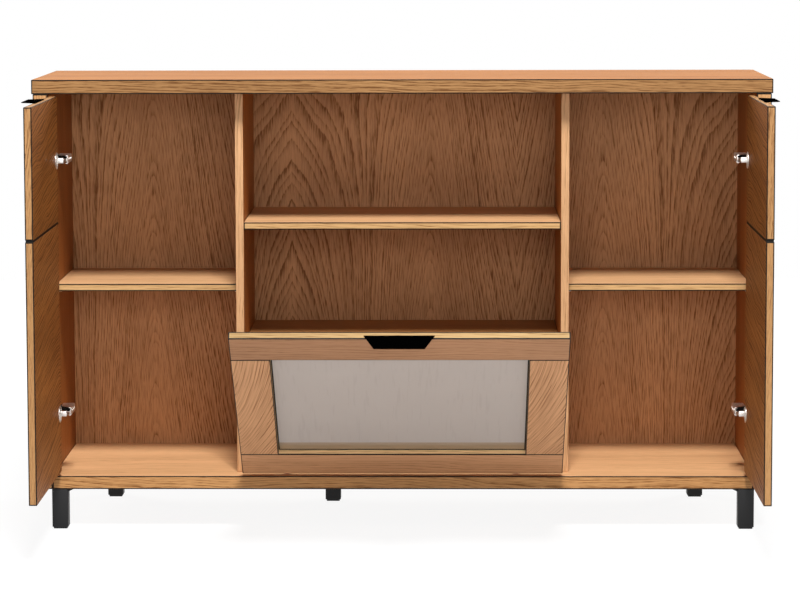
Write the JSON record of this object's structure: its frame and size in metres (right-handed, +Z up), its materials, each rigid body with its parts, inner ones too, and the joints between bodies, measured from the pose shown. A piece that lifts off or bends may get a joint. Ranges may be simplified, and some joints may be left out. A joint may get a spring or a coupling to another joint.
{
  "type": "sideboard",
  "caption": "Wooden sideboard on short square metal legs, with hinged doors, open shelves and a glazed drop flap.",
  "frame": {"origin": "on the floor under the middle of the whole sideboard as it rests, with both doors a quarter turn open and the flap half lowered", "axes": "+X to the right along the width as seen from the front, +Y from the front to the back, +Z up"},
  "size_m": [1.6, 0.8702, 0.983],
  "materials": {
    "oak_veneer": "lacquered oak veneer, satin",
    "oak_back": "oak-grained back board, matt",
    "black_steel": "fine-textured black powder coat",
    "black_strip": "matt black",
    "tinted_glass": "grey-tinted, clear",
    "nickel": "nickel plated"
  },
  "bodies": {
    "case": {"top_panel": "oak_veneer", "bottom_panel": "oak_veneer", "left_side_panel": "oak_veneer", "right_side_panel": "oak_veneer", "left_partition": "oak_veneer", "right_partition": "oak_veneer", "centre_upper_shelf": "oak_veneer", "centre_lower_shelf": "oak_veneer", "left_shelf": "oak_veneer", "right_shelf": "oak_veneer", "left_back_panel": "oak_back", "centre_back_panel": "oak_back", "right_back_panel": "oak_back", "left_shelf_pin_outer_front": "nickel", "left_shelf_pin_outer_back": "nickel", "left_shelf_pin_inner_front": "nickel", "left_shelf_pin_inner_back": "nickel", "right_shelf_pin_outer_front": "nickel", "right_shelf_pin_outer_back": "nickel", "right_shelf_pin_inner_front": "nickel", "right_shelf_pin_inner_back": "nickel", "front_left_leg": "black_steel", "front_right_leg": "black_steel", "back_left_leg": "black_steel", "back_right_leg": "black_steel", "middle_leg": "black_steel", "left_door_upper_hinge_arm": "nickel", "left_door_upper_hinge_plate": "nickel", "left_door_lower_hinge_arm": "nickel", "left_door_lower_hinge_plate": "nickel", "right_door_upper_hinge_arm": "nickel", "right_door_upper_hinge_plate": "nickel", "right_door_lower_hinge_arm": "nickel", "right_door_lower_hinge_plate": "nickel", "flap_left_hinge_arm": "nickel", "flap_left_hinge_plate": "nickel", "flap_right_hinge_arm": "nickel", "flap_right_hinge_plate": "nickel"},
    "left_door": {"left_door_upper_panel": "oak_veneer", "left_door_lower_panel": "oak_veneer", "left_door_strip": "black_strip", "left_door_handle": "black_steel", "left_door_upper_hinge_cup": "nickel", "left_door_lower_hinge_cup": "nickel"},
    "right_door": {"right_door_upper_panel": "oak_veneer", "right_door_lower_panel": "oak_veneer", "right_door_strip": "black_strip", "right_door_handle": "black_steel", "right_door_upper_hinge_cup": "nickel", "right_door_lower_hinge_cup": "nickel"},
    "flap": {"flap_bottom_rail": "oak_veneer", "flap_top_rail": "oak_veneer", "flap_left_stile": "oak_veneer", "flap_right_stile": "oak_veneer", "flap_glass": "tinted_glass", "flap_glass_bead": "oak_veneer", "flap_handle": "black_steel", "flap_left_hinge_cup": "nickel", "flap_right_hinge_cup": "nickel"}
  },
  "joints": [
    {"name": "left_door_hinge", "type": "hinge", "parent": "case", "child": "left_door", "pos_m": [-0.76, 0.00307, 0.5], "axis": [0, 0, 1], "range_deg": [-15, 90]},
    {"name": "right_door_hinge", "type": "hinge", "parent": "case", "child": "right_door", "pos_m": [0.76, 0.00307, 0.5], "axis": [0, 0, -1], "range_deg": [-15, 90]},
    {"name": "flap_hinge", "type": "hinge", "parent": "case", "child": "flap", "pos_m": [0, 0.00307, 0.125], "axis": [-1, 0, 0], "range_deg": [-40, 50]}
  ]
}
